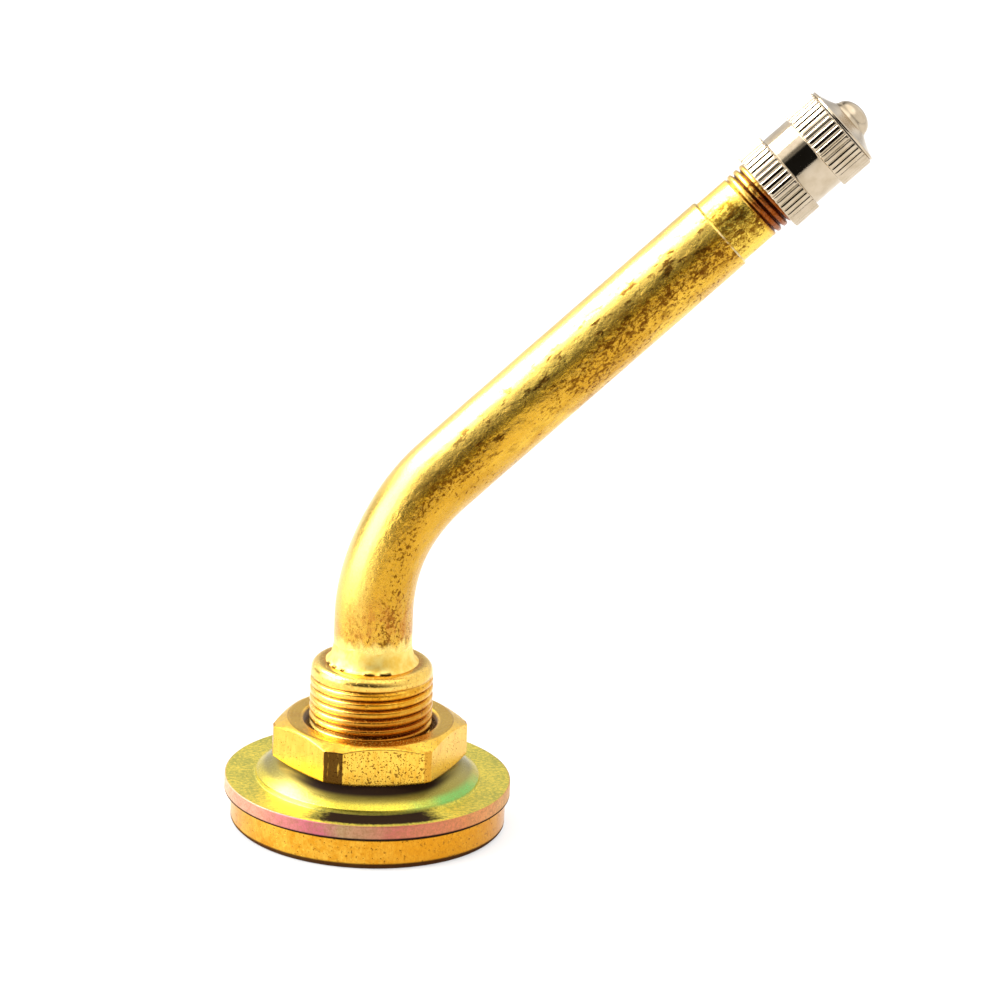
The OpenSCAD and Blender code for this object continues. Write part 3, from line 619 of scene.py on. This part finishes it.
worn = corners * radius.ramp(WORN_OFF - 0.28, WORN_OFF - 0.18)
face_edge = radius.ramp(NUT_FACE_R - 0.10, NUT_FACE_R - 0.02)
face_edge = face_edge * (1 - radius.ramp(NUT_FACE_R + 0.02, NUT_FACE_R + 0.10))
# Painted shade: the countersink and the tapped bore are painted near-black.
bore_shade = 1 - radius.ramp(NUT_BORE_R + 0.44, NUT_BORE_R + 0.69)
colour = (stain * 0.5 + drawn.ramp(0.4, 0.7) * 0.5).blend(rgb(0.90, 0.57, 0.080), rgb(0.72, 0.36, 0.025))
colour = (pits * 0.8).blend(colour, rgb(0.24, 0.10, 0.010))
colour = (face_edge * 0.5).blend(colour, rgb(0.30, 0.13, 0.012))
colour = (worn * 0.7).blend(colour, rgb(0.52, 0.22, 0.015))
# Painted reflection: the bruised flat is painted near-black where it mirrors the dark room, lighter where
# scratched.
colour = (bruised * (0.96 - scratched * 0.6)).blend(colour, rgb(0.07, 0.028, 0.005))
colour = (bore_shade * 0.9).blend(colour, rgb(0.05, 0.016, 0.003))
relief = grain * 0.35 + drawn * 0.3 - pits
surface(nut_brass, colour, 0.18 + grain * 0.14 + pits * 0.2, 1.0, relief, depth=0.02)
nut.data.materials.append(nut_brass)
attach(nut, "nut")
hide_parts("clamp_nut")


# Cap: turned brass with two knurled bands and a nipple, nickel plated. It screws over the tip and
# presses a rubber gasket onto the mouth. Its thread is half a pitch out of step with the tip's, so
# that the crests of one lie in the grooves of the other.
CAP_BORE_R, CAP_ROOF, GASKET_T = 3.91, 9.70, 0.9
CAP_OPEN = MOUTH + GASKET_T - CAP_ROOF
BAND_R, KNURL_TEETH, KNURL_DEPTH = 4.69, 44, 0.14
WAIST_R, RIM_R = 4.23, 4.54
LOWER_TOP, UPPER_FOOT, UPPER_TOP, CONE_FOOT = 3.2, 6.45, 10.15, 10.45
NIPPLE_R, NIPPLE_FOOT, NIPPLE_H = 2.1, 11.4, 1.55
BAND_BEVEL, BAND_FOOT = 0.16, 0.03
CAP_THREAD_FOOT, CAP_THREAD_TOP = COLLAR_END - CAP_OPEN + 4.5 * TIP_PITCH, 8.1
VALLEY = [0.04, 0.28, 0.66]
TOOTH = [0] * 5 + VALLEY + [1.0] + VALLEY[::-1]
CAP_ROUND = full_turn(KNURL_TEETH * len(TOOTH))


def on_cap(p):
    """Carries a point of the cap, with z from its open rim, onto the stem's tip."""
    return bent(Vector((p.x, p.y, p.z + CAP_OPEN)))


def band(low, high):
    """Rows of a knurled band, flat on its teeth and bevelled at both ends."""
    bevel = [(0, BAND_BEVEL), (0.05, 0.06), (0.14, 0), (0.4, 0)]
    ends = [(low + up, cut) for up, cut in bevel] + [(high - down, cut) for down, cut in bevel[::-1]]
    teeth = [KNURL_DEPTH * TOOTH[i % len(TOOTH)] for i in range(len(CAP_ROUND))]
    return [[(BAND_R - max(tooth, cut), z) for tooth in teeth] for z, cut in ends]


band_end = BAND_R - BAND_BEVEL - 0.01
rim = [(CAP_BORE_R + 0.3, 0), (BAND_R - BAND_BEVEL - 0.10, 0), (BAND_R - BAND_BEVEL, BAND_FOOT)]
waist = [(band_end, LOWER_TOP), (WAIST_R, LOWER_TOP), (WAIST_R, UPPER_FOOT), (band_end, UPPER_FOOT)]
flare = [(RIM_R - (RIM_R - NIPPLE_R) * t, CONE_FOOT + (NIPPLE_FOOT - CONE_FOOT) * (0.75 * t + 0.25 * t ** 3))
         for t in (0, 0.25, 0.5, 0.7, 0.85, 0.95)]
nipple = arc(0, NIPPLE_FOOT, NIPPLE_R, NIPPLE_H, [*range(6, 90, 6), 87, 90])
head = [(band_end, UPPER_TOP), (RIM_R - 0.09, UPPER_TOP + 0.02), (RIM_R, UPPER_TOP + 0.06)] + flare + nipple
roof = [(0, CAP_ROOF), (CAP_BORE_R, CAP_ROOF), (CAP_BORE_R, CAP_THREAD_TOP)]
tapped = thread(CAP_THREAD_FOOT, CAP_THREAD_TOP, TIP_PITCH, TIP_R - 0.42, CAP_BORE_R, CAP_BORE_R, CAP_ROUND)
shell = hoops(eased(rim, ease=0.03), CAP_ROUND) + band(BAND_FOOT, LOWER_TOP)
shell += hoops(eased(waist, ease=0.06), CAP_ROUND) + band(UPPER_FOOT, UPPER_TOP)
shell += hoops(eased(head, ease=0.05), CAP_ROUND) + hoops(roof, CAP_ROUND) + tapped[::-2]
shell += hoops([(CAP_BORE_R, CAP_THREAD_FOOT), (CAP_BORE_R, 0.3)], CAP_ROUND)
cap = skin("cap_shell_knurled", shell, CAP_ROUND, on_cap)

nickel, at = finish("nickel_plate")
height = at.part(2)
haze = at.noise(0.5, 3.0, 0.6)
fine = at.noise(7.0, 3.0, 0.6)
# Painted reflection: a near-black line at the top of the upper band, on the side facing the camera, where the
# rim's bevel mirrors the dark room.
rim_reflection = height.ramp(UPPER_TOP - 0.10, UPPER_TOP - 0.04) * (1 - height.ramp(UPPER_TOP + 0.05, UPPER_TOP + 0.09))
rim_reflection = rim_reflection * at.facing(DARK_REFLECTION_SIDE).ramp(0.6, 0.9)
colour = haze.ramp(0.35, 0.70).blend(rgb(0.58, 0.48, 0.35), rgb(0.48, 0.385, 0.26))
colour = rim_reflection.blend(colour, rgb(0.012, 0.008, 0.005))
surface(nickel, colour, 0.03 + haze * 0.05 + fine * 0.03, 1 - rim_reflection * 0.9, fine, depth=0.004)
cap.data.materials.append(nickel)
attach(cap, "cap")
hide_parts("cap_shell")


# Core spring: stainless wire wound round the pin, between the barrel's ledge and the pin's shoulder.
# The real spring shortens as the pin is pressed; here it is wound at one length.
COIL_R, WIRE_R, COILS = 0.95, 0.14, 8
SPRING_LEN, SPRING_PRESSED = 4.6, 3.1
LEDGE = MOUTH - 12.0
WIRE_RINGS, WIRE_SIDES = 320, 12


def wire_point(ring, side):
    """A point on the wire's skin: a ring along the wire, and a side round it."""
    share, round_wire = ring / WIRE_RINGS, 2 * pi * side / WIRE_SIDES
    turn = 2 * pi * COILS * share
    r = COIL_R + WIRE_R * cos(round_wire)
    z = LEDGE + WIRE_R + (SPRING_LEN - 2 * WIRE_R) * share + WIRE_R * sin(round_wire)
    return bent(Vector((r * cos(turn), r * sin(turn), z))) * MM


def wire_face(ring, side):
    """The face from one point of the wire to the next ring and the next side."""
    here, beside = ring * WIRE_SIDES + side, ring * WIRE_SIDES + (side + 1) % WIRE_SIDES
    return (here, here + WIRE_SIDES, beside + WIRE_SIDES, beside)


points = [wire_point(ring, side) for ring in range(WIRE_RINGS + 1) for side in range(WIRE_SIDES)]
faces = [wire_face(ring, side) for ring in range(WIRE_RINGS) for side in range(WIRE_SIDES)]
wire_ends = [tuple(range(WIRE_SIDES)), tuple(range(len(points) - 1, len(points) - 1 - WIRE_SIDES, -1))]
coil = bpy.data.meshes.new("core_spring_coil")
coil.from_pydata(points, [], faces + wire_ends)
coil.shade_smooth()
spring = bpy.data.objects.new("core_spring_wound", coil)
bpy.context.scene.collection.objects.link(spring)


def mottled(name, colour, roughness, metallic, size, contrast):
    """A finish for a small inner piece, with mottles of a size in millimetres."""
    material, at = finish(name, straight=False)
    mottle = at.noise(1000 / size, 4.0, 0.6)
    darker = [c * (1 - contrast) for c in colour]
    colours = mottle.ramp(0.35, 0.70).blend(rgb(*colour), rgb(*darker))
    surface(material, colours, roughness + mottle * 0.15, metallic, mottle, depth=0.006)
    return material


spring.data.materials.append(mottled("spring_wire", (0.58, 0.58, 0.60), 0.2, 1.0, 0.5, 0.25))
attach(spring, "stem")
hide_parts("core_spring")
bent(Vector((0, 0, LEDGE))) * MM
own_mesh(spring)


# Core and gasket: the turned brass screw, barrel and pin with their pressed cup and moulded seals,
# which screw into the tip as one unit, and the rubber disc that lies loose in the cap's roof.
core_brass = mottled("core_brass", (0.72, 0.46, 0.10), 0.22, 1.0, 1.0, 0.3)
black_rubber = mottled("black_rubber", (0.022, 0.022, 0.024), 0.55, 0.0, 0.8, 0.4)
red_seal = mottled("red_seal", (0.34, 0.03, 0.02), 0.45, 0.0, 0.8, 0.3)
inner_finishes = {"core_screw": core_brass, "core_barrel": core_brass, "core_pin": core_brass,
                  "core_cup": core_brass, "core_barrel_seal": red_seal, "core_cup_seal": black_rubber,
                  "cap_gasket": black_rubber}
for node, material in inner_finishes.items():
    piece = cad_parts[node]
    piece.data.materials.clear()
    piece.data.materials.append(material)


# Studio: a wide white floor under white light, one large soft lamp high on the left, and a dark room
# behind the camera that the bright metal mirrors. The sizes of the floor and the lamp are in metres.
LENS_HEIGHT, LENS_TURN, LENS_ROLL = radians(18.6), radians(12), radians(2.2)
LENS_AWAY, SENSOR = 700.0, 36
IMAGE_SIZE, PIXELS_PER_MM, BASE_AT = 1000, 9.57, (367.2, 819.3)
FLOOR_HALF = 6
LAMP_LONG, LAMP_WIDE, LAMP_WATTS, LAMP_AWAY, LAMP_ROUND = 0.85, 0.36, 18, 1.1, 1.5
LAMP_AIM = Vector((0.02, 0, 0.045))
SIDE_WAY = (-0.975, 0.05, 0.21)
ROOM_LIGHT, CEILING_LIGHT, BACK_LIGHT = 0.28, 0.9, 0.45
STRIP_LIGHT, SIDE_LIGHT, END_LIGHT = 1.4, 6, 0.9

back = Vector((-cos(LENS_HEIGHT) * sin(LENS_TURN), -cos(LENS_HEIGHT) * cos(LENS_TURN), sin(LENS_HEIGHT)))
level = Vector((cos(LENS_TURN), -sin(LENS_TURN), 0))
upright = back.cross(level)
right = level * cos(LENS_ROLL) + upright * sin(LENS_ROLL)
up = upright * cos(LENS_ROLL) - level * sin(LENS_ROLL)
aside, above = [(IMAGE_SIZE / 2 - pixel) / PIXELS_PER_MM for pixel in BASE_AT]
eye = back * LENS_AWAY + right * aside - up * above
lens = bpy.data.cameras.new("camera")
lens.sensor_width = SENSOR
lens.lens = SENSOR * PIXELS_PER_MM * LENS_AWAY / IMAGE_SIZE
lens.clip_start, lens.clip_end = 0.01, 50
camera = bpy.data.objects.new("camera", lens)
camera.matrix_world = Matrix.Translation(eye * MM) @ Matrix((right, up, back)).transposed().to_4x4()
bpy.context.scene.collection.objects.link(camera)
bpy.context.scene.camera = camera

floor_corners = [(-FLOOR_HALF, -FLOOR_HALF, 0), (FLOOR_HALF, -FLOOR_HALF, 0),
                 (FLOOR_HALF, FLOOR_HALF, 0), (-FLOOR_HALF, FLOOR_HALF, 0)]
floor_mesh = bpy.data.meshes.new("floor")
floor_mesh.from_pydata(floor_corners, [], [(0, 1, 2, 3)])
floor = bpy.data.objects.new("floor", floor_mesh)
bpy.context.scene.collection.objects.link(floor)
white, at = finish("floor_white", straight=False)
surface(white, at.noise(3.0).blend(rgb(0.56, 0.56, 0.56), rgb(0.58, 0.58, 0.58)), 0.9, 0.0)
floor.data.materials.append(white)

arm_way = Vector((sin(BEND_ANGLE), 0, cos(BEND_ANGLE)))
towards_lens = (back - arm_way * back.dot(arm_way)).normalized()
over = towards_lens.cross(arm_way)
lamp_way = towards_lens * cos(LAMP_ROUND) + over * sin(LAMP_ROUND)
lamp_axes = Matrix((lamp_way.cross(arm_way), -arm_way, lamp_way)).transposed().to_4x4()
softbox_lamp = bpy.data.lights.new("softbox", "AREA")
softbox_lamp.shape = "RECTANGLE"
softbox_lamp.size, softbox_lamp.size_y = LAMP_LONG, LAMP_WIDE
softbox_lamp.energy = LAMP_WATTS
softbox_lamp.use_shadow = False
softbox = bpy.data.objects.new("softbox", softbox_lamp)
softbox.matrix_world = Matrix.Translation(LAMP_AIM + lamp_way * LAMP_AWAY) @ lamp_axes
bpy.context.scene.collection.objects.link(softbox)

world = bpy.data.worlds.new("studio")
world.use_nodes = True
world.node_tree.nodes.clear()
sky = Signal(world.node_tree)
look = sky.node("ShaderNodeTexCoord", {}, {}, "Generated")
beyond = look.along(arm_way)
round_arm = look.along(over).maths("ARCTAN2", look.along(towards_lens))
dark = 1 - round_arm.maths("ABSOLUTE").ramp(0.46, 0.52)
dark = dark * (1 - beyond.ramp(0.22, 0.34)) * beyond.maths("GREATER_THAN", -0.48)
strip = round_arm.ramp(0.62, 0.80) * (1 - round_arm.ramp(1.7, 2.9))
strip = strip * (1 - beyond.maths("ABSOLUTE").ramp(0.24, 0.42))
ceiling = look.part(2).ramp(0.70, 0.90)
behind = look.along(-back).ramp(0.55, 0.95)
side = look.along(SIDE_WAY).ramp(0.86, 0.95)
end = beyond.ramp(0.40, 0.75)
strength = ROOM_LIGHT + ceiling * CEILING_LIGHT + behind * BACK_LIGHT
strength = strength + strip * STRIP_LIGHT + side * SIDE_LIGHT + end * END_LIGHT
strength = strength * (1 - dark * 0.95)
grey = sky.node("ShaderNodeCombineColor", {}, {0: strength, 1: strength, 2: strength})
light = sky.node("ShaderNodeBackground", {}, {"Color": grey, "Strength": 1.0})
sky.node("ShaderNodeOutputWorld", {}, {"Surface": light})
bpy.context.scene.world = world
bpy.context.scene.view_settings.view_transform = "Standard"
